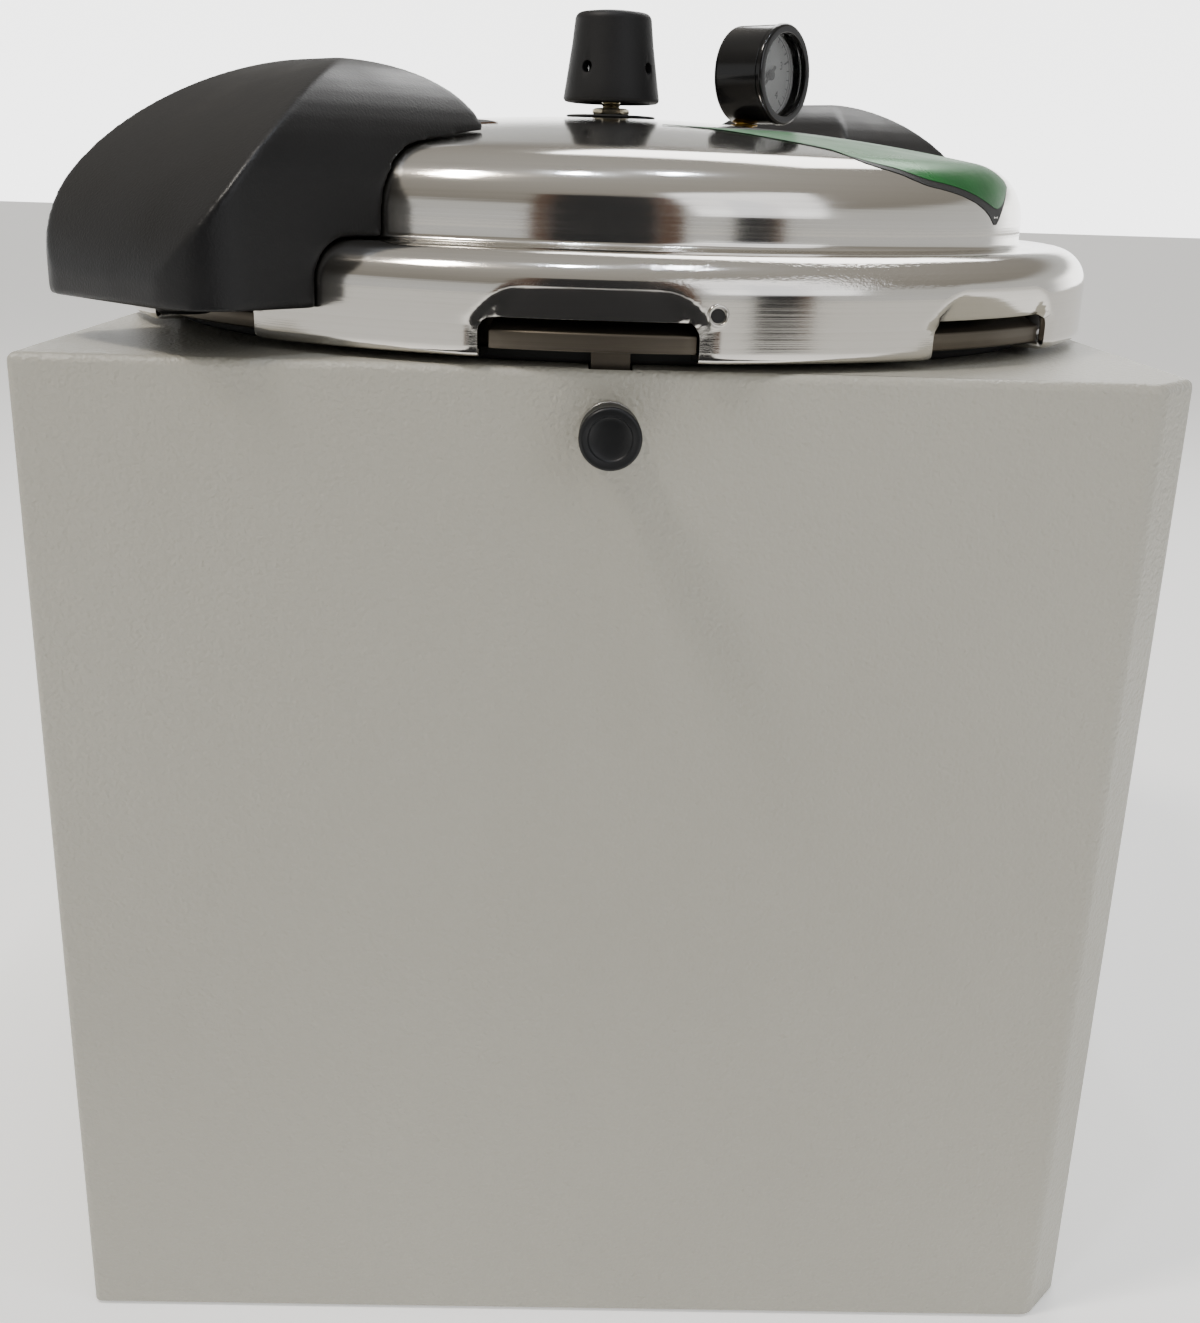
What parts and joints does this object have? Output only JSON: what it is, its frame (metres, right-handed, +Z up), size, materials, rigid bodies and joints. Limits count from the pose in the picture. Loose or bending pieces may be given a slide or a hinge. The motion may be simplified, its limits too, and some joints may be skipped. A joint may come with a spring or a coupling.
{
  "type": "cabinet pressure canner",
  "caption": "Pressure canner: an aluminium pot with a twist-lock lid, gauge and weighted regulator, set in a painted sheet-steel cabinet with a rear heater supply.",
  "frame": {"origin": "centre of the underside of the base pan", "axes": "+Z up; -Y out of the front panel with the plunger knob; +X to the right seen from the front"},
  "size_m": [0.4142, 0.4302, 0.5107],
  "materials": {
    "painted_steel": "warm light grey textured powder coat, satin",
    "bare_steel": "zinc-plated and plain steel, satin",
    "polished_aluminium": "spun and polished, bright with turning marks",
    "pot_aluminium": "cast and spun, dull grey brown",
    "phenolic": "black moulded phenolic, satin with fine grain",
    "black_plastic": "black moulded plastic, satin",
    "gloss_black": "gloss black enamel",
    "rubber": "black rubber, matt",
    "brass": "turned brass",
    "glass": "clear lens",
    "dial": "light grey printed dial plate"
  },
  "bodies": {
    "cabinet": {"cabinet_shell": "painted_steel", "back_cover": "painted_steel", "base_pan": "bare_steel", "back_screw_1": "bare_steel", "back_screw_2": "bare_steel", "back_screw_3": "bare_steel", "back_screw_4": "bare_steel", "back_screw_5": "bare_steel", "back_screw_6": "bare_steel", "pan_screw_1": "bare_steel", "pan_screw_2": "bare_steel", "pan_screw_3": "bare_steel", "pan_screw_4": "bare_steel", "heater_tray": "bare_steel", "heating_element": "bare_steel", "plunger_bush": "bare_steel", "plunger_spring": "bare_steel", "jar_rack": "polished_aluminium", "pot": "pot_aluminium", "locating_key": "pot_aluminium", "overheat_thermostat": "black_plastic", "power_inlet": "black_plastic", "switch_frame": "black_plastic", "support_ring": "rubber"},
    "lid": {"lid_gasket": "rubber", "lid_shell": "polished_aluminium", "lid_handle_front": "phenolic", "lid_handle_rear": "phenolic", "handle_bracket_front": "bare_steel", "handle_bracket_rear": "bare_steel", "handle_screw_front": "bare_steel", "handle_screw_rear": "bare_steel", "vent_stem": "bare_steel", "stem_washer": "rubber", "stem_nut": "bare_steel", "stem_inner_nut": "bare_steel", "safety_plug": "rubber", "gauge_case": "gloss_black", "gauge_bezel": "gloss_black", "gauge_lens": "glass", "gauge_dial": "dial", "gauge_movement": "brass", "bourdon_tube": "brass", "gauge_stem": "brass", "gauge_nut": "brass"},
    "weight": {"regulator_insert": "bare_steel", "regulator_cap": "phenolic"},
    "pointer": {"gauge_pointer": "gloss_black"},
    "plunger": {"plunger_pin": "bare_steel", "plunger_knob": "black_plastic"},
    "rocker": {"switch_rocker": "black_plastic"}
  },
  "joints": [
    {"name": "lid_lift", "type": "slide", "parent": "cabinet", "child": "lid", "axis": [0, 0, 1], "range_m": [0, 0.15]},
    {"name": "weight_lift", "type": "slide", "parent": "lid", "child": "weight", "axis": [0, 0, 1], "range_m": [0, 0.05]},
    {"name": "pointer_swing", "type": "hinge", "parent": "lid", "child": "pointer", "pos_m": [0.06483, -0.00472, 0.48655], "axis": [-0.7771, 0.6293, 0], "range_deg": [0, 270], "stiffness_Nm_per_rad": 0.0004, "springref_deg": -17.19},
    {"name": "plunger_pull", "type": "slide", "parent": "cabinet", "child": "plunger", "axis": [0, -1, 0], "range_m": [0, 0.007], "stiffness_N_per_m": 900, "springref_m": -0.004, "deforming": ["plunger_spring"]},
    {"name": "rocker_tilt", "type": "hinge", "parent": "cabinet", "child": "rocker", "pos_m": [-0.07, 0.1983, 0.06], "axis": [1, 0, 0], "range_deg": [0, 18]}
  ]
}
